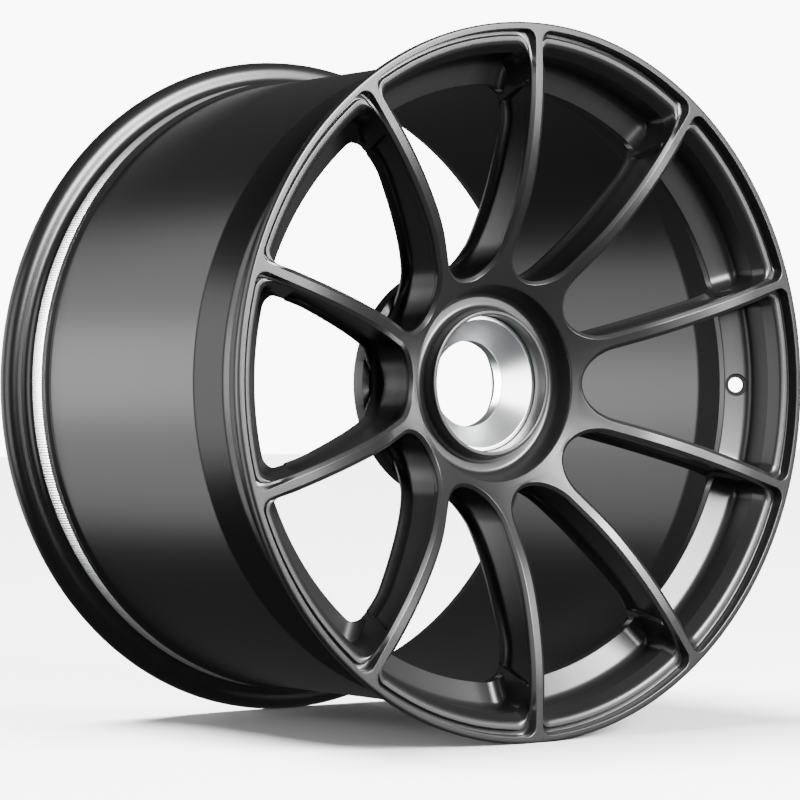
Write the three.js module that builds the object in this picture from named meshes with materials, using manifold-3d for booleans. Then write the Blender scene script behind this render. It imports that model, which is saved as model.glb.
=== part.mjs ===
// Forged racing wheel rim, 19 x 12 J, with a centre-lock hub.
//
// Millimetres. The wheel spins about the Y axis, its front faces -Y, and +Z is up.
// The origin is on the axis, halfway between the two flanges.
// Every `depth` below is measured from the front flange's outer face, towards the back.

import * as THREE from 'three';
import { mergeVertices } from 'three/addons/utils/BufferGeometryUtils.js';
import Module from 'manifold-3d';

const wasm = await Module();
wasm.setup();

// ---- Driving sizes ----

const RIM_WIDTH = 304.8; // 12 inches between the flanges' tyre sides
const SEAT_RADIUS = 243.7; // bead seat of a 19 inch rim
const FLANGE_HEIGHT = 17.5; // J flange
const FLANGE_WIDTH = 12.5;
const FLANGE_CURL = 9.5; // radius of the flange's curled edge
const SEAT_FILLET = 6.5; // radius between the seat and the flange
const SEAT_SLOPE = Math.tan(THREE.MathUtils.degToRad(5));
const HUMP_HEIGHT = 1.6;

const DRUM_RADIUS = 241;
const DRUM_WALL = 6;
const WELL_RADIUS = 229.5;
const CREST_RADIUS = 222; // the pockets' inner edge
const CREST_BACK = 51;
const WELL_START = 53;
const DRUM_START = 89;
const REAR_START = 286;

const SPOKE_COUNT = 10;
const SPOKE_CAP = 8; // width of the spoke's front cap
const SPOKE_CAP_DEPTH = 8;
const SPOKE_WEB = 6;
const SPOKE_FOOT = 11; // width of the spoke's back edge
const SPOKE_FOOT_DEPTH = 9;
const SPOKE_START = 92; // radius where the spokes leave the hub

const FACE_SLOPE = Math.tan(THREE.MathUtils.degToRad(30.3)); // the dished face near the hub
const FACE_CONE_END = 120; // the cone turns into an arc here,
const FACE_ARC_END = 150; // that arc into a flatter one here,
const FACE_FLAT_START = 222; // and the face lies level from here out
const FACE_ARC_RADIUS = 138;
const FACE_FLAT_ARC_RADIUS = 250;

const WINDOW_ARC = 30; // radius of the windows' round inner ends
const WINDOW_CENTRE = 109; // and its distance from the axis
const HUB_FLANGE_RADIUS = 88;
const HUB_BACK = 110;
const HUB_FLANGE_FRONT = 96;
const REGISTER_RADIUS = 42; // bore that locates the wheel

const SEAT_OUTER = 50.5;
const SEAT_FRONT = 68.7;
const SEAT_BACK = 92;
const CONE_MOUTH = 47.6;
const CONE_THROAT = 32;
const CONE_END = 84.5;

const BUSH_COUNT = 5;
const BUSH_PITCH_RADIUS = 68;
const BUSH_RADIUS = 11.5;
const BUSH_BORE = 8;
const BUSH_LENGTH = 26;

const VALVE_HOLE_RADIUS = 5.75;
const VALVE_HOLE_AT = { radius: 227, depth: 40 };
const VALVE_HOLE_TILT = THREE.MathUtils.degToRad(38);

const GAP = 0.3; // between pieces that touch
const RING_SEGMENTS = 50;
const RING_TURN = Math.PI / RING_SEGMENTS; // so that the wheel stands on a flat, not a corner

// ---- Sizes that follow ----

const WIDTH = RIM_WIDTH + 2 * FLANGE_WIDTH;
const FLANGE_RADIUS = SEAT_RADIUS + FLANGE_HEIGHT;
const DRUM_INNER = DRUM_RADIUS - DRUM_WALL;
const SECTOR = (2 * Math.PI) / SPOKE_COUNT;

const yAt = (depth) => depth - WIDTH / 2;

// ---- Solids and booleans ----

function solidOf(geometry) {
  const bare = geometry.clone();
  bare.deleteAttribute('normal');
  bare.deleteAttribute('uv');
  const welded = mergeVertices(bare, 1e-4);
  return new wasm.Manifold(
    new wasm.Mesh({
      numProp: 3,
      vertProperties: new Float32Array(welded.attributes.position.array),
      triVerts: new Uint32Array(welded.index.array),
    }),
  );
}

function geometryOf(solid) {
  const mesh = solid.getMesh();
  const geometry = new THREE.BufferGeometry();
  geometry.setAttribute('position', new THREE.BufferAttribute(mesh.vertProperties, 3));
  geometry.setIndex(new THREE.BufferAttribute(mesh.triVerts, 1));
  geometry.computeVertexNormals();
  return geometry;
}

// A ring turned about Y from a closed profile of [radius, depth] points, which run backwards
// along the outside and forwards along the inside.
function turned(profile, segments = RING_SEGMENTS) {
  const points = [...profile, profile[0]].map(([radius, depth]) => new THREE.Vector2(radius, yAt(depth)));
  return solidOf(new THREE.LatheGeometry(points, segments, Math.PI / segments));
}

// Points on an arc in the radius-depth plane. Angle 0 points outwards, 90 degrees backwards.
function arc(radius, depth, size, from, to, steps) {
  const points = [];
  for (let i = 0; i <= steps; i += 1) {
    const angle = THREE.MathUtils.degToRad(from + ((to - from) * i) / steps);
    points.push([radius + size * Math.cos(angle), depth + size * Math.sin(angle)]);
  }
  return points;
}

const mirrored = (profile) => profile.map(([radius, depth]) => [radius, WIDTH - depth]).reverse();

// The same profile, grown outwards by `distance`.
function grown(profile, distance) {
  return profile.map((point, i) => {
    const before = profile[(i + profile.length - 1) % profile.length];
    const after = profile[(i + 1) % profile.length];
    const a = new THREE.Vector2(point[0] - before[0], point[1] - before[1]).normalize();
    const b = new THREE.Vector2(after[0] - point[0], after[1] - point[1]).normalize();
    const normal = new THREE.Vector2(a.y + b.y, -a.x - b.x).normalize();
    const reach = distance / Math.max(0.5, normal.dot(new THREE.Vector2(a.y, -a.x)));
    return [point[0] + normal.x * reach, point[1] + normal.y * reach];
  });
}

// A slab across the spoke's own plane: the outline is drawn in radius and depth.
function slab(outline, thickness) {
  const shape = new THREE.Shape(outline.map(([radius, depth]) => new THREE.Vector2(radius, yAt(depth))));
  const geometry = new THREE.ExtrudeGeometry(shape, { depth: thickness, bevelEnabled: false });
  geometry.translate(0, 0, -thickness / 2);
  return solidOf(geometry);
}

// A round bar along Y.
function bar(radius, x, z, fromDepth, toDepth, segments) {
  const geometry = new THREE.CylinderGeometry(radius, radius, toDepth - fromDepth, segments);
  geometry.rotateY(Math.PI / segments);
  geometry.translate(x, (yAt(fromDepth) + yAt(toDepth)) / 2, z);
  return solidOf(geometry);
}

// ---- Rim, ring by ring ----

// The tyre side of the front flange and its bead seat, from the flange's edge backwards.
const flangeFace = FLANGE_WIDTH;
const seatStart = flangeFace + SEAT_FILLET;
const seatLength = 16;
const tyreSide = [
  ...arc(FLANGE_RADIUS - FLANGE_CURL, flangeFace - FLANGE_CURL, FLANGE_CURL, 0, 90, 4),
  ...arc(SEAT_RADIUS + SEAT_FILLET, seatStart, SEAT_FILLET, 270, 180, 3),
  [SEAT_RADIUS - seatLength * SEAT_SLOPE, seatStart + seatLength],
  [SEAT_RADIUS - seatLength * SEAT_SLOPE + HUMP_HEIGHT, seatStart + seatLength + 3],
];

// The pockets behind the lip: a small step, a rounded wall and a band that faces the front.
const frontRimProfile = [
  [259.6, 0],
  ...tyreSide,
  [SEAT_RADIUS - 2, 41],
  [WELL_RADIUS + 2, WELL_START - GAP / 2],
  [CREST_RADIUS + 1.2, WELL_START - GAP / 2],
  [CREST_RADIUS, CREST_BACK],
  [CREST_RADIUS, 42.5],
  [CREST_RADIUS + 2, 40],
  [231, 38.4],
  [234, 35.5],
  [238.5, 20],
  [243, 11],
  [246.8, 7],
  [249.4, 5],
  [250.6, 1.6],
  [252.5, 0],
];

// The bottom of the well and its slope up to the barrel.
const wellProfile = [
  [WELL_RADIUS + 2 - 1.7, WELL_START + GAP / 2],
  [WELL_RADIUS, 56],
  [WELL_RADIUS, 66],
  [WELL_RADIUS + 2, 69.5],
  [DRUM_RADIUS, DRUM_START - GAP / 2],
  [DRUM_INNER - 0.6, DRUM_START - GAP / 2],
  [CREST_RADIUS + 1.5, WELL_START + GAP / 2],
];

const barrelProfile = [
  [DRUM_RADIUS, DRUM_START + GAP / 2],
  [DRUM_RADIUS, REAR_START - GAP / 2],
  [DRUM_INNER, REAR_START - GAP / 2],
  [DRUM_INNER, DRUM_START + 4],
  [DRUM_INNER - 0.5, DRUM_START + GAP / 2],
];

const rearRimProfile = [
  [DRUM_RADIUS, REAR_START + GAP / 2],
  [DRUM_RADIUS, REAR_START + 3.5],
  ...mirrored(tyreSide),
  [259.6, WIDTH],
  [254, WIDTH],
  [249, WIDTH - 5],
  [240, WIDTH - 13],
  [DRUM_INNER + 1.5, WIDTH - 22],
  [DRUM_INNER, WIDTH - 32],
  [DRUM_INNER, REAR_START + GAP / 2],
];

// The valve hole slants from the pocket's band out into the tyre's space.
function valveHole() {
  const geometry = new THREE.CylinderGeometry(VALVE_HOLE_RADIUS, VALVE_HOLE_RADIUS, 44, 16);
  geometry.rotateZ(-VALVE_HOLE_TILT);
  geometry.translate(VALVE_HOLE_AT.radius, yAt(VALVE_HOLE_AT.depth), 0);
  return solidOf(geometry);
}

const frontRim = turned(frontRimProfile).subtract(valveHole());
const wellRing = turned(wellProfile);
const barrel = turned(barrelProfile);
const rearRim = turned(rearRimProfile);

// ---- Spokes ----

// Depth of the wheel's dished face at a radius: level, a long arc, a tighter arc, a cone.
function faceDepth(radius) {
  const onArc = (size, run) => size - Math.sqrt(size * size - run * run);
  if (radius >= FACE_FLAT_START) {
    return 0.2;
  }
  if (radius >= FACE_ARC_END) {
    return 0.2 + onArc(FACE_FLAT_ARC_RADIUS, FACE_FLAT_START - radius);
  }
  const arcDepth = 0.2 + onArc(FACE_FLAT_ARC_RADIUS, FACE_FLAT_START - FACE_ARC_END);
  const startAngle = Math.asin((FACE_FLAT_START - FACE_ARC_END) / FACE_FLAT_ARC_RADIUS);
  const along = (r) => Math.sin(startAngle) + (FACE_ARC_END - r) / FACE_ARC_RADIUS;
  const drop = (r) => FACE_ARC_RADIUS * (Math.cos(startAngle) - Math.sqrt(1 - along(r) ** 2));
  if (radius >= FACE_CONE_END) {
    return arcDepth + drop(radius);
  }
  return arcDepth + drop(FACE_CONE_END) + (FACE_CONE_END - radius) * FACE_SLOPE;
}

// The spoke's front edge, from the hub outwards.
const faceRadii = [SPOKE_START + GAP, FACE_CONE_END, 135, FACE_ARC_END, 172, 195, FACE_FLAT_START, 255];
const faceLine = faceRadii.map((radius) => [radius, faceDepth(radius)]);

// The spoke's back edge, from the rim inwards: a short hook at the rim, then a long sweep.
const hook = new THREE.QuadraticBezierCurve(
  new THREE.Vector2(CREST_RADIUS + 3, 51),
  new THREE.Vector2(205, 35),
  new THREE.Vector2(187, 40),
);
const sweep = new THREE.QuadraticBezierCurve(
  new THREE.Vector2(187, 40),
  new THREE.Vector2(115, 62),
  new THREE.Vector2(88, 95),
);
const backLine = [...hook.getPoints(3), ...sweep.getPoints(6).slice(1)]
  .map((point) => [point.x, point.y])
  .filter(([radius]) => radius > SPOKE_START + 2);
const backEnd = [SPOKE_START + GAP, 90];

const shifted = (line, depth) => line.map(([radius, at]) => [radius, at + depth]);

// The rim end runs on inside the front rim's metal, where the rim then trims it.
const insideRim = [
  [249, 7.5],
  [244, 12.5],
  [239.5, 24],
  [236, 42],
  [229, 48],
];
const spokeOutline = [...faceLine, ...insideRim, ...backLine, backEnd];
const capOutline = [
  ...faceLine,
  ...shifted(faceLine.slice(0, -1), SPOKE_CAP_DEPTH).reverse(),
];
const footOutline = [
  ...backLine,
  backEnd,
  ...shifted([...backLine, backEnd], -SPOKE_FOOT_DEPTH).reverse(),
];

const halfStep = THREE.MathUtils.radToDeg(RING_TURN);
const rimClearance = turned(grown(frontRimProfile, GAP)).rotate([0, halfStep, 0]);
const spoke = slab(spokeOutline, SPOKE_WEB)
  .add(slab(capOutline, SPOKE_CAP))
  .add(slab(footOutline, SPOKE_FOOT))
  .subtract(rimClearance);

// ---- Hub ----

// Dished front, from the spokes in to the seat's recess, then the register bore and the back.
const padDepth = faceDepth(78);
const hubProfile = [
  [SPOKE_START, faceDepth(SPOKE_START)],
  [SPOKE_START, 93],
  [HUB_FLANGE_RADIUS, HUB_FLANGE_FRONT],
  [HUB_FLANGE_RADIUS, HUB_BACK - 1],
  [HUB_FLANGE_RADIUS - 1, HUB_BACK],
  [REGISTER_RADIUS + 1.5, HUB_BACK],
  [REGISTER_RADIUS, HUB_BACK - 1.5],
  [REGISTER_RADIUS, SEAT_BACK + GAP],
  [SEAT_OUTER + GAP, SEAT_BACK + GAP],
  [SEAT_OUTER + GAP, 56],
  [52.5, 55.5],
  [54, 57],
  [56, 65],
  [59, 68.5],
  [63, 68.5],
  [67, 64],
  [72.5, 52],
  [76.5, padDepth + 0.6],
  [80, faceDepth(80)],
];

// The windows cut into the hub between the spokes, but not into its back flange.
let hub = turned(hubProfile);
const flangeKeeper = bar(HUB_FLANGE_RADIUS, 0, 0, HUB_FLANGE_FRONT - 2, HUB_BACK, RING_SEGMENTS);
let windows = bar(WINDOW_ARC, WINDOW_CENTRE, 0, 20, HUB_BACK + 10, 24);
const firstWindow = windows;
for (let i = 1; i < SPOKE_COUNT; i += 1) {
  windows = windows.add(firstWindow.rotate([0, THREE.MathUtils.radToDeg(i * SECTOR), 0]));
}
hub = hub.subtract(windows.subtract(flangeKeeper));

const bushAngle = (i) => SECTOR / 2 + i * 2 * SECTOR;
for (let i = 0; i < BUSH_COUNT; i += 1) {
  const x = BUSH_PITCH_RADIUS * Math.cos(bushAngle(i));
  const z = BUSH_PITCH_RADIUS * Math.sin(bushAngle(i));
  const socketFloor = HUB_BACK - BUSH_LENGTH - GAP;
  hub = hub.subtract(bar(BUSH_RADIUS + GAP, x, z, socketFloor, HUB_BACK + 1, 20));
}

// ---- Pieces fitted to the forging ----

const centreSeat = turned(
  [
    [SEAT_OUTER, SEAT_FRONT + 0.5],
    [SEAT_OUTER, SEAT_BACK],
    [REGISTER_RADIUS - 1, SEAT_BACK],
    [REGISTER_RADIUS - 1, SEAT_BACK + 2],
    [CONE_THROAT + 1, SEAT_BACK + 2],
    [CONE_THROAT, SEAT_BACK + 1],
    [CONE_THROAT, CONE_END],
    [CONE_MOUTH, SEAT_FRONT],
    [SEAT_OUTER - 0.5, SEAT_FRONT],
  ],
  40,
);

const bush = solidOf(
  new THREE.LatheGeometry(
    [
      new THREE.Vector2(BUSH_RADIUS, 0),
      new THREE.Vector2(BUSH_RADIUS, BUSH_LENGTH),
      new THREE.Vector2(BUSH_BORE + 1, BUSH_LENGTH),
      new THREE.Vector2(BUSH_BORE, BUSH_LENGTH - 1),
      new THREE.Vector2(BUSH_BORE, 0),
      new THREE.Vector2(BUSH_RADIUS, 0),
    ],
    20,
  ),
);

// ---- The wheel ----

const satinBlack = { color: 0x2b2b2d, roughness: 0.42, metalness: 0.75 };
const bareAluminium = { color: 0xc9cacc, roughness: 0.3, metalness: 1 };
const bushSteel = { color: 0x8d8f92, roughness: 0.35, metalness: 1 };

const wheel = new THREE.Group();
wheel.name = 'forged_racing_wheel_rim';

function addPiece(name, solid, finish) {
  const mesh = new THREE.Mesh(geometryOf(solid), new THREE.MeshStandardMaterial(finish));
  mesh.name = name;
  wheel.add(mesh);
  return mesh;
}

addPiece('front_rim', frontRim, satinBlack);
addPiece('well_ring', wellRing, satinBlack);
addPiece('barrel', barrel, satinBlack);
addPiece('rear_rim', rearRim, satinBlack);
addPiece('hub', hub, satinBlack);

for (let i = 0; i < SPOKE_COUNT; i += 1) {
  const name = `spoke_${String(i + 1).padStart(2, '0')}`;
  addPiece(name, spoke, satinBlack).rotation.y = -(SECTOR / 2 + i * SECTOR);
}

addPiece('centre_seat', centreSeat, bareAluminium);

for (let i = 0; i < BUSH_COUNT; i += 1) {
  const mesh = addPiece(`drive_bush_${i + 1}`, bush, bushSteel);
  const x = BUSH_PITCH_RADIUS * Math.cos(bushAngle(i));
  const z = BUSH_PITCH_RADIUS * Math.sin(bushAngle(i));
  mesh.position.set(x, yAt(HUB_BACK - BUSH_LENGTH), z);
}

export default wheel;
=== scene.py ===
# %% [markdown]
# # A forged racing wheel
#
# This wheel starts as one hot-pressed billet of aluminium. A lathe turns the rim and the hub,
# a mill cuts ten windows through the face and hollows the sides of the spokes, and the whole
# forging is coated satin black. A bare aluminium cone seat is pressed into the hub, and five
# steel bushes line the sockets that the axle's drive pins enter from behind.
#
# Because the real thing is one continuous piece of metal, it is modelled here as one continuous
# mesh. The script first loads the measured frame, and every position starts from its boxes.

# %% Load the frame
import math

import bmesh
import bpy
import numpy as np
from mathutils import Matrix, Vector


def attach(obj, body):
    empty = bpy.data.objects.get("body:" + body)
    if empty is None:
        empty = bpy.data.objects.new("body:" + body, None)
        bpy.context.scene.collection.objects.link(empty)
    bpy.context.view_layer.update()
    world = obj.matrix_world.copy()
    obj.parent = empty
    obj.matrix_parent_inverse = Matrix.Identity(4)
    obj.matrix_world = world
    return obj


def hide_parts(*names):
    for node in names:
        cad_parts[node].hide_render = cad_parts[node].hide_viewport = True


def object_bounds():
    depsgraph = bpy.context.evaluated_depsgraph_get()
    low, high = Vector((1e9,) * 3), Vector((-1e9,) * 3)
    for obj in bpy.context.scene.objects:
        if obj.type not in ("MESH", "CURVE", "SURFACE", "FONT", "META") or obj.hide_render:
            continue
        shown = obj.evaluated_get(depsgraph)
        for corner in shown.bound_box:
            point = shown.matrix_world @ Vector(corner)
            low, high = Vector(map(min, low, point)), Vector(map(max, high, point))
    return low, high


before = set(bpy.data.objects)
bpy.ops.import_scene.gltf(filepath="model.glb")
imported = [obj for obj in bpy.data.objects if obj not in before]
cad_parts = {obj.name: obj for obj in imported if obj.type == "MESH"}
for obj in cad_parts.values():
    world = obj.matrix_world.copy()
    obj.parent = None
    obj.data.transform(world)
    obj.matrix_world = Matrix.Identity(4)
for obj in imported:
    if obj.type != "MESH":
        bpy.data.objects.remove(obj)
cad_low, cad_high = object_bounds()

MM = 0.001
front_y = cad_low.y / MM
wheel_width = (cad_high.y - cad_low.y) / MM
flange_radius = cad_high.x / MM
print(f"frame: {len(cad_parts)} nodes, {2 * flange_radius:.1f} mm across, {wheel_width:.1f} wide")

# %% [markdown]
# ## Drawing round corners
#
# A turned part is drawn as half a section: radius against depth behind the lip's outer face.
# Machined corners are never sharp, and their small radii are what catches the light. Bevelling
# the finished mesh would round every edge alike, so each corner here carries its own radius, and
# one function swaps the corner for an arc with a set number of points.

# %% Sections with a radius at each corner


def section(corners):
    """Points of a section. A corner is (across, depth, arc radius, points on the arc, points
    before the arc); the last three may be left out of an end."""
    points = [np.array(corners[0][:2], float)]
    for before, corner, after in zip(corners, corners[1:], corners[2:]):
        at = np.array(corner[:2], float)
        into = np.array(before[:2], float) - at
        out = np.array(after[:2], float) - at
        into /= np.linalg.norm(into)
        out /= np.linalg.norm(out)
        half = math.acos(np.clip(into @ out, -1, 1)) / 2
        setback = corner[2] / math.tan(half)
        centre = at + (into + out) / np.linalg.norm(into + out) * corner[2] / math.sin(half)
        start = at + into * setback - centre
        turn = math.copysign(math.pi - 2 * half, into[1] * out[0] - into[0] * out[1])
        for k in range(corner[4]):
            points.append(points[-1] + (centre + start - points[-1]) / (corner[4] + 1 - k))
        for k in range(corner[3]):
            a = turn * k / (corner[3] - 1)
            spin = np.array([[math.cos(a), -math.sin(a)], [math.sin(a), math.cos(a)]])
            points.append(centre + spin @ start)
    points.append(np.array(corners[-1][:2], float))
    return np.array(points)


# %% [markdown]
# ## The dished face
#
# Seen from the side, the spokes' front edge lies level at the lip, falls back along two arcs and
# ends as a straight cone at the hub. The same curve gives the depth of every point of the face,
# so it is written once, as a function of radius.

# %% Depth of the face
SPOKES = 10
half_sector = math.pi / SPOKES
level_from, bend_from, cone_from = 222, 150, 120
slow_arc, quick_arc = 250, 138
cone_slope = math.tan(math.radians(30.3))


def face_depth(radius):
    """Depth of the wheel's front face at a radius."""
    radius = np.asarray(radius, float)
    slow = np.clip(level_from - radius, 0, level_from - bend_from)
    quick = np.clip(bend_from - radius, 0, bend_from - cone_from)
    start = math.asin((level_from - bend_from) / slow_arc)
    sine = math.sin(start) + quick / quick_arc
    depth = slow_arc - np.sqrt(slow_arc**2 - slow**2)
    depth = depth + quick_arc * (math.cos(start) - np.sqrt(1 - sine**2))
    return depth + np.clip(cone_from - radius, 0, None) * cone_slope


print("the face at 120 mm radius lies", round(float(face_depth(120)), 1), "mm behind the lip")

# %% Depth of the spokes' back edge


def bezier(points, count):
    """Points on a quadratic curve."""
    t = np.linspace(0, 1, count)[:, None]
    a, b, c = np.array(points, float)
    return (1 - t) ** 2 * a + 2 * t * (1 - t) * b + t**2 * c


back_curve = np.vstack(
    [
        bezier([(88, 95), (115, 62), (187, 40)], 40),
        bezier([(187, 40), (205, 35), (225, 51)], 20)[1:],
    ]
)


def back_depth(radius):
    """Depth of the spokes' back edge at a radius."""
    return np.interp(radius, back_curve[:, 0], back_curve[:, 1])


print("spoke depth at mid length:", round(float(back_depth(150) - face_depth(150)), 1), "mm")

# %% [markdown]
# ## Half a window, row by row
#
# The face repeats ten times, and half of one window mirrors the other half. So only half a
# window is drawn: a strip of columns that runs from the middle of the lip pocket, round the
# corner, down the side of a spoke and round the window's inner end to its middle.
# Each column is a chain of the same rows, from the front edge to the back edge. In the pocket
# the rows follow the turned section of the lip. On a spoke they follow its milled side: a
# chamfered ridge in front, a sunk web, and a cove that spreads into the foot behind. Boolean
# cuts could make this too, but they leave long slivers that shade badly, while rows keep every
# highlight clean.

# %% The lip pocket's section
pocket = section(
    [
        (257.6, 0.0),
        (255.9, 0.0, 0.6, 4, 0),
        (255.4, 8.6, 0.9, 4, 0),
        (252.2, 8.6, 0.9, 3, 0),
        (251.4, 6.0, 0.6, 4, 0),
        (246.3, 6.3, 5.0, 7, 0),
        (240.3, 16.0, 0.6, 3, 1),
        (238.0, 35.0, 8.4, 8, 2),
        (219.4, 42.4, 0.9, 4, 1),
        (219.8, 48.4, 0.8, 3, 0),
        (221.6, 53.0),
    ]
)
lip_circle, pocket, crest_circle = pocket[0], pocket[1:-1], pocket[-1]
ROWS = len(pocket)
print("the pocket's section has", ROWS, "rows")

# %% The spoke's section
ridge_half_width = 3.0
chamfer_width, chamfer_depth = 3.0, 1.9
web_sink, foot_spread, cove_radius = -0.1, 4.2, 11.0


def beam(depth):
    """A spoke's side, as (offset from the front edge, depth below it)."""
    return section(
        [
            (-ridge_half_width, 0),
            (0, 0, 0.7, 4, 0),
            (chamfer_width, chamfer_depth, 0.8, 4, 1),
            (chamfer_width, 5.8, 0.6, 4, 1),
            (web_sink, 9.8, 2.0, 5, 1),
            (web_sink, depth - 6.8, cove_radius, 10, 5),
            (foot_spread, depth - 3.2, 0.8, 4, 0),
            (foot_spread, depth, 0.9, 4, 1),
            (-ridge_half_width, depth),
        ]
    )[1:-1]


assert len(beam(40)) == ROWS

# %% [markdown]
# ## Columns round the window
#
# In the pocket a column is the turned section itself, swung to an angle. In the corner it leaves
# the pocket on a rolling-ball fillet: it moves off the metal while it turns towards the spoke.
# Down the spoke and round the window's inner end, the columns hang from the front edge.
# Points are written as (x along the window's middle line, z across it, depth).

# %% Plan of the window
spoke_along = np.array([math.cos(half_sector), math.sin(half_sector)])
spoke_across = np.array([math.sin(half_sector), -math.cos(half_sector)])
window_inner, pad_radius = 78.5, 76.5
arc_centre = (window_inner - ridge_half_width) / (1 - math.sin(half_sector))
arc_radius = arc_centre - window_inner
arc_start = arc_centre * math.cos(half_sector)
print(f"window's inner end: {arc_radius:.1f} mm radius, {window_inner} mm from the axis")


def smooth(value):
    value = np.clip(value, 0, 1)
    return value * value * (3 - 2 * value)


def from_spoke(along, across, depth):
    """Points given along and across the spoke's centre line, in the window's own x and z."""
    plan = np.outer(along, spoke_along) + np.outer(across, spoke_across)
    return np.column_stack([plan, np.broadcast_to(depth, len(plan))])


def on_circle(radius, angle, depth):
    return np.array([radius * math.cos(angle), radius * math.sin(angle), depth])


# %% Pocket columns and the corner fillet
rows = np.arange(ROWS)
plain_side = beam(40)[:, 0].copy()
plain_side[8:] = chamfer_width + 0.1
side_at_rim = ridge_half_width + plain_side
fillet = np.interp(rows, [0, 20, ROWS - 1], [8.5, 9.0, 11.0])
lean_rows = [0, 14, 20, 23, 26, 31, 36, 40, 43]
lean_degrees = [0, 0, 20, 16, 9, 10, 45, 58, 38]
lean = np.radians(np.interp(rows, lean_rows, lean_degrees))
leave = np.column_stack([-np.cos(lean), -np.sin(lean)])
pocket_end = half_sector - np.arcsin((side_at_rim + fillet) / pocket[:, 0])
settled = np.minimum.accumulate(pocket[::-1, 1])[::-1]

POCKET_COLUMNS, CORNER_COLUMNS = 14, 8
front, back, columns = [], [], []
for share in np.linspace(0, 1, POCKET_COLUMNS + 1):
    angle = share * pocket_end
    plan = pocket[:, :1] * np.column_stack([np.cos(angle), np.sin(angle)])
    columns.append(np.column_stack([plan, pocket[:, 1]]))
    front.append(on_circle(lip_circle[0], angle[0], lip_circle[1]))
    back.append(on_circle(crest_circle[0], angle[-1], crest_circle[1]))

for i in range(1, CORNER_COLUMNS + 1):
    swing = math.radians(90) * i / CORNER_COLUMNS
    across = side_at_rim + fillet * (1 - math.sin(swing))
    off = fillet * (1 - math.cos(swing))
    along = np.sqrt(pocket[:, 0] ** 2 - across**2) + leave[:, 0] * off
    depth = pocket[:, 1] + (settled - pocket[:, 1]) * smooth(i / CORNER_COLUMNS)
    columns.append(from_spoke(along, across, depth + leave[:, 1] * off))
    for circle, edge, at in ((lip_circle, front, 0), (crest_circle, back, -1)):
        angle = pocket_end[at] + (half_sector - pocket_end[at]) * i / CORNER_COLUMNS
        edge.append(on_circle(circle[0], angle, circle[1]))
rim_columns = len(columns)

# %% Spoke columns
hollow_outer_end = 221.5
first_full, straight_from, back_shift = 228, 175, 17


def spoke_column(radius):
    """A column of the spoke's side, its end on the front centre line and on the back one."""
    foot = radius - back_shift * smooth((radius - straight_from) / (first_full - straight_from))
    top, bottom = float(face_depth(radius)), float(back_depth(foot))
    length = math.hypot(radius - foot, bottom - top)
    side = beam(length)
    hollow = smooth((hollow_outer_end - radius) / 2.4 + 0.5)
    across = ridge_half_width + plain_side + (side[:, 0] - plain_side) * hollow
    share = side[:, 1] / length
    column = from_spoke(radius + (foot - radius) * share, across, top + (bottom - top) * share)
    ends = from_spoke([radius, foot], [0, 0], [top, bottom])
    return column, ends[0], ends[1]


first_column, first_front, first_back = spoke_column(first_full)
for share in (0.25, 0.5, 0.75):
    columns.append(columns[rim_columns - 1] * (1 - share) + first_column * share)
    front.append(front[rim_columns - 1] * (1 - share) + first_front * share)
    back.append(back[rim_columns - 1] * (1 - share) + first_back * share)
at_hollow = hollow_outer_end + np.array([1.6, 0.9, 0.3, -0.3, -0.9, -1.6, -4.0])
for radius in [first_full, *at_hollow, *np.linspace(211, 109, 20), arc_start]:
    column, column_front, column_back = spoke_column(radius)
    columns.append(column)
    front.append(column_front)
    back.append(column_back)

# %% Depth of the foot round the inner end
flange_edge_radius, hub_back_edge, ledge_depth = 88.0, 98.0, 96.5
foot_start = float(back_depth(math.hypot(arc_start, ridge_half_width)))
foot_slope = 34.0


def foot_depth_at(turn):
    """Depth of the foot round the inner end: it leaves the spoke's slope and levels out."""
    share = smooth(turn)
    depth = foot_start * (1 - share) + ledge_depth * share
    return float(depth + foot_slope * turn * (1 - turn) ** 2)


print(f"the foot drops from {foot_start:.1f} to {ledge_depth} mm round the inner end")

# %% Columns round the inner end
ARC_COLUMNS, ON_LINE = 18, 8
ON_CIRCLE = ARC_COLUMNS - ON_LINE
for i in range(1, ARC_COLUMNS + 1):
    turn = i / ARC_COLUMNS
    angle = math.pi / 2 + half_sector + (math.pi / 2 - half_sector) * turn
    inward = -np.array([math.cos(angle), math.sin(angle)])
    edge = np.array([arc_centre, 0]) - inward * arc_radius
    radius = np.linalg.norm(edge)
    top = float(face_depth(radius))
    side = beam(foot_depth_at(turn) - top)
    columns.append(np.column_stack([edge + np.outer(side[:, 0], inward), top + side[:, 1]]))
    if i <= ON_LINE:
        share = i / ON_LINE
        ahead = arc_start + (pad_radius - arc_start) * share
        behind = arc_start + (flange_edge_radius - arc_start) * share
        behind_depth = back_depth(behind)
        behind_depth += (hub_back_edge - back_depth(flange_edge_radius)) * share
        ends = from_spoke([ahead, behind], [0, 0], [face_depth(ahead), behind_depth])
        front.append(ends[0])
        back.append(ends[1])
    else:
        angle = half_sector * (ARC_COLUMNS - i) / ON_CIRCLE
        front.append(on_circle(pad_radius, angle, face_depth(pad_radius)))
        back.append(on_circle(flange_edge_radius, angle, hub_back_edge))
hub_columns = ON_CIRCLE + 1
print(len(columns), "columns round half a window")

# %% The strip with its front and back faces
FACE_SHARES = (0.15, 0.5)


def across_face(edge, rim, follow_face):
    """Rows between a strip's edge and the line where the face meets its neighbour."""
    rows_between = []
    for share in FACE_SHARES:
        row = edge * share + rim * (1 - share)
        if follow_face:
            row[2] = face_depth(math.hypot(row[0], row[1]))
        rows_between.append(row)
    return rows_between


strip = []
for column, at_front, at_back in zip(columns, front, back):
    ahead = [at_front] + across_face(column[0], at_front, True)
    behind = [at_back] + across_face(column[-1], at_back, False)
    strip.append(np.vstack([ahead, column, behind[::-1]]))
strip = np.array(strip)
print("the strip has", strip.shape[0], "columns of", strip.shape[1], "points")

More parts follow.
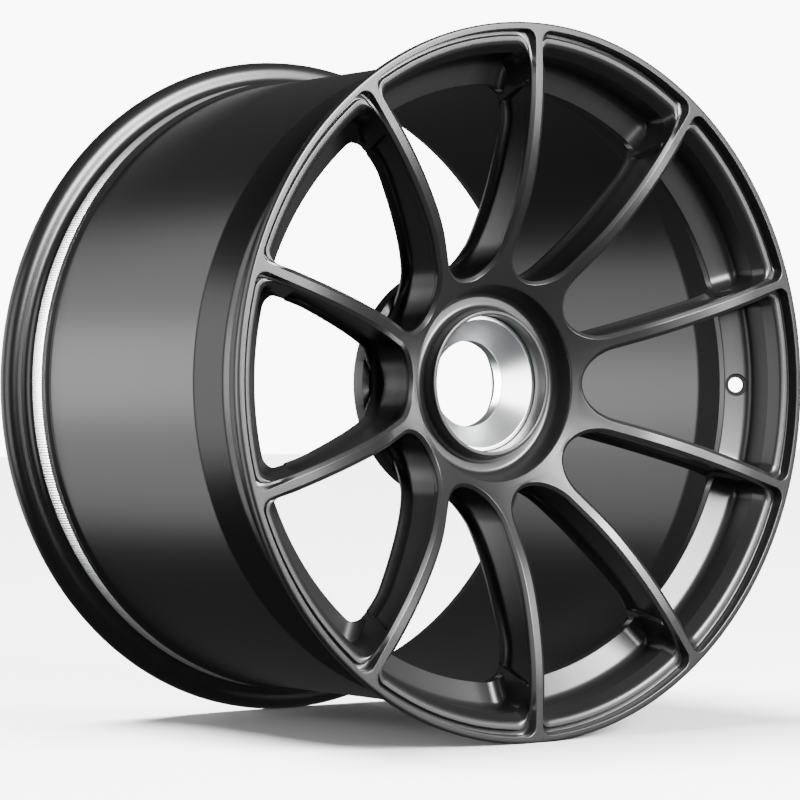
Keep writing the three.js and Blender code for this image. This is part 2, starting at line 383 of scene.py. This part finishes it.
# %% [markdown]
# ## Turned surfaces
#
# Everything outside the lip and everything inside the hub is turned, so its section is swung
# through the same angles as the window's columns, and the two meshes share their vertices.

# %% The rim's section, round the outside and back through the barrel
seat_radius, drum_radius, well_radius = 243.7, 241.0, 229.5
flange_thickness, flange_fillet, seat_fillet = 12.5, 9.4, 6.5
rear = wheel_width
rim_section = section(
    [
        tuple(lip_circle),
        (flange_radius, 0, 1.6, 5, 1),
        (flange_radius, flange_thickness, flange_fillet, 8, 0),
        (seat_radius, flange_thickness, seat_fillet, 6, 0),
        (242.2, 35.0, 1.2, 3, 1),
        (243.9, 38.0, 1.2, 3, 0),
        (241.4, 42.0, 2.0, 3, 0),
        (well_radius, 54.5, 5.0, 4, 1),
        (well_radius, 67.5, 6.0, 4, 0),
        (drum_radius, 88.0, 5.0, 4, 1),
        (drum_radius, rear - 41.5, 1.2, 3, 8),
        (244.0, rear - 39.0, 1.0, 3, 0),
        (242.4, rear - 35.5, 1.0, 3, 0),
        (seat_radius, rear - flange_thickness, seat_fillet, 6, 2),
        (flange_radius, rear - flange_thickness, flange_fillet, 8, 0),
        (flange_radius, rear, 2.2, 5, 0),
        (253.8, rear, 2.5, 4, 1),
        (241.5, rear - 13.0, 12.0, 5, 1),
        (235.0, rear - 30.0, 20.0, 5, 1),
        (235.0, 90.0, 20.0, 5, 9),
        tuple(crest_circle),
    ]
)

# %% The hub's section, through the dish and out over the back
hub_back, register_radius, recess_radius, recess_floor = 110.0, 42.0, 50.8, 92.3
hub_section = section(
    [
        (pad_radius, face_depth(pad_radius)),
        (72.4, face_depth(72.4), 2.6, 7, 0),
        (66.6, 68.6, 4.0, 7, 1),
        (56.4, 68.6, 4.0, 6, 0),
        (54.2, 55.7, 1.3, 5, 1),
        (recess_radius, 55.7, 0.9, 4, 0),
        (recess_radius, recess_floor, 0.5, 3, 3),
        (register_radius, recess_floor, 0.5, 3, 1),
        (register_radius, hub_back, 1.0, 3, 1),
        (flange_edge_radius, hub_back, 1.2, 4, 6),
        (flange_edge_radius, hub_back_edge),
    ]
)
print(len(rim_section), "points on the rim's section,", len(hub_section), "on the hub's")

# %% Swing the sections


def swung(points, angles_in, angles_out, over):
    """A turned surface. Its angles slide from angles_in to angles_out over its last rows."""
    slide = np.clip((np.arange(len(points)) - len(points) + over) / (over - 1), 0, 1)
    columns = []
    for angle_in, angle_out in zip(angles_in, angles_out):
        angle = angle_in + (angle_out - angle_in) * slide
        columns.append(
            np.column_stack(
                [points[:, 0] * np.cos(angle), points[:, 0] * np.sin(angle), points[:, 1]]
            )
        )
    return np.array(columns)


def angles_of(ends):
    return [math.atan2(end[1], end[0]) for end in ends]


rim_grid = swung(
    rim_section, angles_of(front[:rim_columns]), angles_of(back[:rim_columns]), 14
)
hub_angles = angles_of(front[-hub_columns:])
hub_grid = swung(hub_section, hub_angles, hub_angles, 2)
print("turned grids:", rim_grid.shape[:2], "and", hub_grid.shape[:2])

# %% [markdown]
# ## One mesh
#
# The three grids of half a window share their border points. Mirrored and turned ten times,
# they are welded where they meet. One mesh shades without a seam, as one piece of metal should,
# and the count of open edges shows at once if a border was missed.

# %% Weld the grids


def grid_faces(columns, rows, first):
    index = first + np.arange(columns * rows).reshape(columns, rows)
    quads = [index[:-1, :-1], index[1:, :-1], index[1:, 1:], index[:-1, 1:]]
    return np.stack(quads, -1).reshape(-1, 4)


def wheel_mesh(name, grids):
    """Copies of half-window grids, mirrored and turned ten times, welded into one mesh."""
    points, faces, count = [], [], 0
    for grid in grids:
        for k in range(SPOKES):
            turn = 2 * half_sector * k
            for mirror in (1, -1):
                x, z, depth = grid[..., 0], grid[..., 1] * mirror, grid[..., 2]
                placed = [
                    x * math.cos(turn) - z * math.sin(turn),
                    front_y + depth,
                    x * math.sin(turn) + z * math.cos(turn),
                ]
                points.append(np.stack(placed, -1).reshape(-1, 3) * MM)
                faces.append(grid_faces(*grid.shape[:2], count))
                count += grid.shape[0] * grid.shape[1]
    mesh = bpy.data.meshes.new(name)
    mesh.from_pydata(np.vstack(points).tolist(), [], np.vstack(faces).tolist())
    work = bmesh.new()
    work.from_mesh(mesh)
    bmesh.ops.remove_doubles(work, verts=work.verts, dist=0.004 * MM)
    bmesh.ops.dissolve_degenerate(work, edges=work.edges, dist=0.001 * MM)
    bmesh.ops.recalc_face_normals(work, faces=work.faces)
    open_edges = sum(1 for edge in work.edges if not edge.is_manifold)
    work.to_mesh(mesh)
    work.free()
    mesh.shade_smooth()
    print(f"{name}: {len(mesh.polygons)} faces, {open_edges} open edges")
    return mesh


# %% The forging


def add_piece(name, mesh):
    piece = bpy.data.objects.new(name, mesh)
    bpy.context.scene.collection.objects.link(piece)
    return piece


forging = add_piece("wheel_forging", wheel_mesh("wheel_forging", [strip, rim_grid, hub_grid]))

# %% [markdown]
# ## Holes
#
# Five sockets are bored into the hub's back, one behind every second spoke, and one slanting
# hole for the tyre valve goes through the pocket's band. They are cut from the finished forging,
# as a machinist would, with turned cutters that also leave the small chamfer at each mouth.

# %% Turned bodies and cutting


def turned(name, points, steps, axis_at=(0, 0)):
    """A closed turned body about a line parallel to the wheel's axis."""
    points = np.asarray(points, float)
    angles = np.linspace(0, 2 * math.pi, steps, endpoint=False)
    vertices = []
    for angle in angles:
        for radius, depth in points:
            x = axis_at[0] + radius * math.cos(angle)
            z = axis_at[1] + radius * math.sin(angle)
            vertices.append((x * MM, (front_y + depth) * MM, z * MM))
    count, faces = len(points), []
    for a in range(steps):
        b = (a + 1) % steps
        for k in range(count):
            n = (k + 1) % count
            faces.append((a * count + k, a * count + n, b * count + n, b * count + k))
    mesh = bpy.data.meshes.new(name)
    mesh.from_pydata(vertices, [], faces)
    work = bmesh.new()
    work.from_mesh(mesh)
    bmesh.ops.remove_doubles(work, verts=work.verts, dist=0.002 * MM)
    bmesh.ops.recalc_face_normals(work, faces=work.faces)
    open_edges = sum(1 for edge in work.edges if not edge.is_manifold)
    work.to_mesh(mesh)
    work.free()
    mesh.shade_smooth()
    print(f"{name}: {len(mesh.polygons)} faces, {open_edges} open edges")
    return mesh


# %% Cutting


def cut(piece, cutters):
    """Take every cutter out of a piece, for good."""
    for cutter in cutters:
        boolean = piece.modifiers.new(cutter.name, "BOOLEAN")
        boolean.object = cutter
        boolean.operation = "DIFFERENCE"
        boolean.solver = "EXACT"
        bpy.context.view_layer.update()
        shape = piece.evaluated_get(bpy.context.evaluated_depsgraph_get())
        result = bpy.data.meshes.new_from_object(shape)
        piece.modifiers.clear()
        old, piece.data = piece.data, result
        bpy.data.meshes.remove(old)
        bpy.data.objects.remove(cutter)
    print(f"{piece.name}: {len(piece.data.polygons)} faces after {len(cutters)} cuts")


# %% Drive sockets
socket_pitch, socket_radius, bush_length = 68.0, 11.8, 26.0
bush_places = []
for k in range(5):
    angle = half_sector + 4 * half_sector * k
    bush_places.append((socket_pitch * math.cos(angle), socket_pitch * math.sin(angle)))
socket_floor = hub_back - bush_length - 0.3
mouth_chamfer, chamfer_deep = 1.6, 0.8
cutters = []
for k, place in enumerate(bush_places):
    outline = [
        (0.001, socket_floor),
        (socket_radius, socket_floor),
        (socket_radius, hub_back - chamfer_deep),
        (socket_radius + mouth_chamfer, hub_back + chamfer_deep),
        (0.001, hub_back + chamfer_deep),
    ]
    cutters.append(add_piece(f"socket_cutter_{k}", turned(f"socket_{k}", outline, 48, place)))

# %% Valve hole, with its seat ring milled square to the hole
valve_radius, valve_depth, valve_tilt = 229.9, 41.0, math.radians(52)
outline = [
    (0.001, -30.0),
    (8.8, -30.0),
    (8.8, 0.0),
    (6.1, 0.0),
    (5.75, 0.4),
    (5.75, 40.0),
    (0.001, 40.0),
]
valve_cutter = add_piece("valve_cutter", turned("valve_hole", outline, 48))
turn_out = Matrix.Rotation(-(math.pi / 2 - valve_tilt), 4, "Z")
valve_cutter.data.transform(Matrix.Translation((0, -front_y * MM, 0)))
valve_cutter.data.transform(turn_out)
valve_at = (valve_radius * MM, (front_y + valve_depth) * MM, 0)
valve_cutter.data.transform(Matrix.Translation(valve_at))
cut(forging, [*cutters, valve_cutter])

# %% [markdown]
# ## The cone seat and the drive bushes
#
# The centre nut bears on a 45 degree cone. Black coating would not survive there, so the cone
# is a separate ring of bare, finely turned aluminium pressed into the hub. The drive pins run
# in plain steel bushes. Both are lathe work: one closed section each, with small chamfers.

# %% Cone seat
seat_section = section(
    [
        (50.5, 80.0),
        (50.5, 92.0, 0.4, 3, 0),
        (41.2, 92.0, 0.3, 3, 0),
        (41.2, 94.0, 0.4, 3, 0),
        (32.0, 94.0, 0.6, 4, 0),
        (32.0, 84.6, 1.2, 6, 0),
        (47.6, 68.7, 0.5, 4, 3),
        (50.5, 68.7, 0.5, 4, 0),
        (50.5, 80.0),
    ]
)[:-1]
seat = add_piece("cone_seat", turned("cone_seat", seat_section, 192))

# %% Drive bushes
bush_radius, bush_bore = 11.5, 8.0
bush_front = hub_back - bush_length
bush_section = section(
    [
        (bush_radius, bush_front + 8),
        (bush_radius, hub_back, 0.8, 4, 0),
        (bush_bore, hub_back, 1.4, 5, 0),
        (bush_bore, bush_front, 0.6, 3, 0),
        (bush_radius, bush_front, 0.6, 3, 0),
        (bush_radius, bush_front + 8),
    ]
)[:-1]
bushes = []
for k, place in enumerate(bush_places):
    name = f"drive_bush_{k + 1}"
    bushes.append(add_piece(f"steel_{name}", turned(name, bush_section, 64, place)))

# %% [markdown]
# ## The knurled bead seat
#
# The rear bead seat is knurled so that the tyre cannot creep round the rim under drive. The
# coating is left off there. Real knurls this fine are pressed by a wheel with straight teeth;
# here they are a thin band of real geometry laid a hair above the seat.

# %% Knurl band
knurl_from, knurl_to, teeth, tooth_height = 297.5, 311.5, 720, 0.22


def seat_surface(depth):
    """Radius of the rim's outside at a depth on the rear bead seat."""
    low, high = (rear - 35.5, 242.4), (rear - 12.5, seat_radius)
    return np.interp(depth, [low[0], high[0]], [low[1], high[1]])


knurl_depths = np.linspace(knurl_from, knurl_to, 9)
rings = []
for step in range(teeth * 2):
    angle = math.pi * step / teeth
    rise = np.full(len(knurl_depths), 0.05 + tooth_height * (step % 2))
    rise[[0, -1]] = -0.2
    radius = seat_surface(knurl_depths) + rise
    x, z = radius * math.cos(angle), radius * math.sin(angle)
    rings.append(np.column_stack([x, front_y + knurl_depths, z]) * MM)
count = len(knurl_depths)
knurl_faces = []
for a in range(teeth * 2):
    b = (a + 1) % (teeth * 2)
    for k in range(count - 1):
        knurl_faces.append((a * count + k, a * count + k + 1, b * count + k + 1, b * count + k))
knurl_mesh = bpy.data.meshes.new("knurl")
knurl_mesh.from_pydata(np.vstack(rings).tolist(), [], knurl_faces)
knurl = add_piece("knurled_bead_seat", knurl_mesh)
print("knurl:", teeth, "teeth")

# %% Keep flat faces flat and corners crisp where two surfaces meet


def tidy_shading(piece, angle):
    piece.data.set_sharp_from_angle(angle=math.radians(angle))
    weighted = piece.modifiers.new("even shading", "WEIGHTED_NORMAL")
    weighted.keep_sharp = True


tidy_shading(forging, 38)
for piece in (seat, *bushes):
    tidy_shading(piece, 50)
print("shaded", 2 + len(bushes), "pieces")

# %% [markdown]
# ## Finishes
#
# Each finish starts from the real one. Colours are given as the display colours a painter would
# pick and turned to linear light by one function. Small noise in the roughness and a fine bump
# keep every surface from looking like plastic.

# %% Colours


def linear(colour):
    """A display colour like 17181a, as linear light."""
    parts = [int(colour[i : i + 2], 16) / 255 for i in (0, 2, 4)]
    return [c / 12.92 if c <= 0.04045 else ((c + 0.055) / 1.055) ** 2.4 for c in parts] + [1]


print("satin black in linear light:", round(linear("131313")[0], 4))

# %% Nodes


def add_node(tree, kind, settings=None, links=None):
    """A node with its settings; links bring other nodes' outputs to its inputs. A number
    stands for the input with that place in the list, as a Mix node needs."""
    node = tree.nodes.new(kind)
    for key, value in (settings or {}).items():
        if isinstance(key, int) or key in node.inputs:
            node.inputs[key].default_value = value
        else:
            setattr(node, key, value)
    for key, output in (links or {}).items():
        tree.links.new(output, node.inputs[key])
    return node


def finish_material(name, **settings):
    material = bpy.data.materials.new(name)
    material.use_nodes = True
    tree = material.node_tree
    shader = tree.nodes["Principled BSDF"]
    for key, value in settings.items():
        shader.inputs[key.replace("_", " ").title().replace("Ior", "IOR")].default_value = value
    place = add_node(tree, "ShaderNodeTexCoord").outputs["Object"]
    return material, tree, shader, place


# A Mix node's colours are its inputs 6 and 7, and the mixed colour is its output 2.
FIRST, SECOND, MIXED = 6, 7, 2

# %% Satin black coating: a baked lacquer, so black with soft wide highlights
satin_black, tree, shader, place = finish_material(
    "satin_black_coating", roughness=0.31, ior=1.6, metallic=0.0
)
# The coat is cloudy where it is thicker or thinner, over some 60 mm.
cloud_size, peel_size = 60 * MM, 1.5 * MM
cloud = add_node(
    tree, "ShaderNodeTexNoise", {"Scale": 1 / cloud_size, "Detail": 3.0}, {"Vector": place}
)
tone = add_node(
    tree,
    "ShaderNodeMix",
    {"data_type": "RGBA", FIRST: linear("131313"), SECOND: linear("1b1b1b")},
    {"Factor": cloud.outputs["Fac"]},
)
tree.links.new(tone.outputs[MIXED], shader.inputs["Base Color"])
# Orange peel from spraying: soft lumps about 1.5 mm across that ruffle the highlights.
peel = add_node(
    tree, "ShaderNodeTexNoise", {"Scale": 1 / peel_size, "Detail": 2.0}, {"Vector": place}
)
bump = add_node(
    tree,
    "ShaderNodeBump",
    {"Strength": 0.05, "Distance": 0.04 * MM},
    {"Height": peel.outputs["Fac"]},
)
tree.links.new(bump.outputs["Normal"], shader.inputs["Normal"])
print(f"{satin_black.name}: orange peel {peel_size / MM} mm")

# %% Bare turned aluminium: bright silver, with rings from the lathe tool
bare_aluminium, tree, shader, place = finish_material(
    "bare_turned_aluminium", roughness=0.3, metallic=1.0
)
split = add_node(tree, "ShaderNodeSeparateXYZ", None, {"Vector": place})
# Tool marks are 0.1 mm apart on a real cone; 0.5 mm is as fine as can be seen here.
mark_pitch = 0.5 * MM
marks = add_node(
    tree,
    "ShaderNodeTexNoise",
    {"noise_dimensions": "1D", "Scale": 1 / mark_pitch, "Detail": 1.0},
    {"W": split.outputs["Y"]},
)
tone = add_node(
    tree,
    "ShaderNodeMix",
    {"data_type": "RGBA", FIRST: linear("c9cacc"), SECOND: linear("e4e5e6")},
    {"Factor": marks.outputs["Fac"]},
)
tree.links.new(tone.outputs[MIXED], shader.inputs["Base Color"])
bump = add_node(
    tree,
    "ShaderNodeBump",
    {"Strength": 0.15, "Distance": 0.02 * MM},
    {"Height": marks.outputs["Fac"]},
)
tree.links.new(bump.outputs["Normal"], shader.inputs["Normal"])
print(f"{bare_aluminium.name}: tool marks {mark_pitch / MM} mm apart")

# %% Knurled aluminium: bare metal, pressed into teeth, so it glitters and looks almost white
knurled_aluminium, tree, shader, place = finish_material(
    "knurled_aluminium", roughness=0.38, metallic=1.0
)
# Rubber dust greys it in specks of about 4.5 mm.
speck_size = 4.5 * MM
dust = add_node(
    tree, "ShaderNodeTexNoise", {"Scale": 1 / speck_size, "Detail": 4.0}, {"Vector": place}
)
tone = add_node(
    tree,
    "ShaderNodeMix",
    {"data_type": "RGBA", FIRST: linear("c4c5c6"), SECOND: linear("eeeeee")},
    {"Factor": dust.outputs["Fac"]},
)
tree.links.new(tone.outputs[MIXED], shader.inputs["Base Color"])
print(f"{knurled_aluminium.name}: specks {speck_size / MM} mm")

# %% Ground steel: greyer than the aluminium, with a faint grain from the wheel
ground_steel, tree, shader, place = finish_material("ground_steel", roughness=0.3, metallic=1.0)
grain_size = 1.1 * MM
grain = add_node(
    tree, "ShaderNodeTexNoise", {"Scale": 1 / grain_size, "Detail": 2.0}, {"Vector": place}
)
tone = add_node(
    tree,
    "ShaderNodeMix",
    {"data_type": "RGBA", FIRST: linear("86888b"), SECOND: linear("a9abad")},
    {"Factor": grain.outputs["Fac"]},
)
tree.links.new(tone.outputs[MIXED], shader.inputs["Base Color"])
print(f"{ground_steel.name}: grain {grain_size / MM} mm")

# %% Put each finish on its piece and tie the pieces to the frame
for piece, finish in ((forging, satin_black), (seat, bare_aluminium), (knurl, knurled_aluminium)):
    piece.data.materials.clear()
    piece.data.materials.append(finish)
    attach(piece, "root")
for k, bush in enumerate(bushes):
    bush.data.materials.append(ground_steel)
    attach(bush, "root")
    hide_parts(f"drive_bush_{k + 1}")
rim_nodes = ("front_rim", "well_ring", "barrel", "rear_rim", "hub")
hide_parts(*rim_nodes, *[f"spoke_{k:02d}" for k in range(1, SPOKES + 1)])
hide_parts("centre_seat")
print(3 + len(bushes), "pieces ride on the wheel")

# %% [markdown]
# ## Floor, light and camera
#
# The wheel stands on a pale floor in soft studio light. One big softbox in front and above
# gives the bands and ridges their light edges, a weaker one behind on the left picks out the
# drum, and the room stays dim, so that the black coating stays black.

# %% Floor
floor_mesh = bpy.data.meshes.new("floor")
reach = 12.0
floor_z = cad_low.z
corners = [(-reach, -reach), (reach, -reach), (reach, reach), (-reach, reach)]
floor_mesh.from_pydata([(x, y, floor_z) for x, y in corners], [], [(0, 1, 2, 3)])
floor = add_piece("floor", floor_mesh)
floor_finish, tree, shader, place = finish_material("pale_floor", roughness=0.85)
patch = add_node(tree, "ShaderNodeTexNoise", {"Scale": 3.0}, {"Vector": place})
tone = add_node(
    tree,
    "ShaderNodeMix",
    {"data_type": "RGBA", FIRST: linear("f4f4f4"), SECOND: linear("f7f7f7")},
    {"Factor": patch.outputs["Fac"]},
)
tree.links.new(tone.outputs[MIXED], shader.inputs["Base Color"])
floor_mesh.materials.append(floor_finish)
floor.visible_glossy = False
floor.visible_diffuse = False
print("the floor lies at", round(floor_z / MM, 1), "mm")

# %% Room: pale to look at, dim as a light
world = bpy.data.worlds.new("studio")
bpy.context.scene.world = world
world.use_nodes = True
tree = world.node_tree
background = tree.nodes["Background"]
background.inputs["Color"].default_value = (1, 1, 1, 1)
room_light, room_look = 0.09, 9.5
seen = add_node(tree, "ShaderNodeLightPath").outputs["Is Camera Ray"]
strength = add_node(
    tree,
    "ShaderNodeMapRange",
    {"To Min": room_light, "To Max": room_look},
    {"Value": seen},
)
tree.links.new(strength.outputs["Result"], background.inputs["Strength"])

# %% Softboxes


def softbox(name, toward, distance, size, power):
    """A soft light that stands in a direction from the wheel and faces it."""
    light = bpy.data.lights.new(name, "AREA")
    light.shape = "RECTANGLE"
    light.size, light.size_y = size
    light.energy = power
    lamp = bpy.data.objects.new(name, light)
    bpy.context.scene.collection.objects.link(lamp)
    direction = Vector(toward).normalized()
    lamp.location = direction * distance
    lamp.rotation_euler = direction.to_track_quat("Z", "Y").to_euler()
    lamp.visible_camera = False
    print(f"{name}: {power} W")
    return lamp


softbox("key", (0.2, -0.9, 0.42), 3.2, (1.8, 1.4), 480)
softbox("right strip", (0.52, -0.86, 0.1), 3.4, (0.4, 1.2), 40)
softbox("back left strip", (-0.62, 0.8, 0.05), 3.4, (1.2, 1.1), 13)
softbox("back left wash", (-0.66, 0.75, 0.05), 3.6, (2.6, 4.6), 78)
softbox("left wash", (-1.0, -0.12, 0.05), 3.6, (2.2, 3.4), 78)
softbox("front fill", (-0.1, -1.0, 0.1), 3.6, (2.6, 1.1), 20)

# %% Metal light: a broad fill that only the bare metal sees, so that it reads as polished
metal_only = bpy.data.collections.new("lit by the metal light")
for piece in (seat, knurl, *bushes):
    metal_only.objects.link(piece)
metal_lights = (
    ((-0.5, -0.9, 0.1), 300),
    ((0.6, -0.9, 0.3), 240),
    ((-0.9, -0.2, 0.2), 240),
    ((-0.75, 0.65, 0.1), 700),
)
for toward, power in metal_lights:
    lamp = softbox("metal light", toward, 3.0, (3.0, 3.0), power)
    lamp.light_linking.receiver_collection = metal_only

# %% Floor wash: lights only the floor, so the wheel's underside stays dark
print("floor wash: a wide sun, nearly overhead")
wash = bpy.data.lights.new("floor wash", "SUN")
wash.energy = 19.0
wash.angle = math.radians(30)
wash_lamp = bpy.data.objects.new("floor wash", wash)
bpy.context.scene.collection.objects.link(wash_lamp)
wash_lamp.rotation_euler = Vector((-0.3, 0.2, 1.0)).to_track_quat("Z", "Y").to_euler()
floor_only = bpy.data.collections.new("lit by the floor wash")
floor_only.objects.link(floor)
wash_lamp.light_linking.receiver_collection = floor_only

# %% [markdown]
# ## Camera
#
# A long lens stands well back, level with the hub and some 36 degrees to its left. From there
# the lip's two edges keep their true ellipses, and the deep barrel shows behind the face.

# %% Camera
turn_left, tilt = math.radians(-36.4336), math.radians(-0.1921)
distance, shift_right, shift_up = 8.4969, -0.3837, -0.0476
focal = 3061.95 / 800 * 36
unit = flange_radius * MM
toward = Vector(
    (math.sin(turn_left) * math.cos(tilt), -math.cos(turn_left) * math.cos(tilt), math.sin(tilt))
)
right = (-toward).cross(Vector((0, 0, 1))).normalized()
up = right.cross(-toward)
camera = bpy.data.objects.new("camera", bpy.data.cameras.new("camera"))
bpy.context.scene.collection.objects.link(camera)
aim = Vector((0, front_y * MM + 0.0017, 0))
place_at = aim + (toward * distance + right * shift_right + up * shift_up) * unit
turned_to = Matrix((right, up, toward)).transposed().to_4x4()
camera.matrix_world = Matrix.Translation(place_at) @ turned_to
camera.data.lens = focal
camera.data.clip_end = 100
bpy.context.scene.camera = camera
print(f"camera: {focal:.0f} mm lens, {distance * unit:.2f} m away")
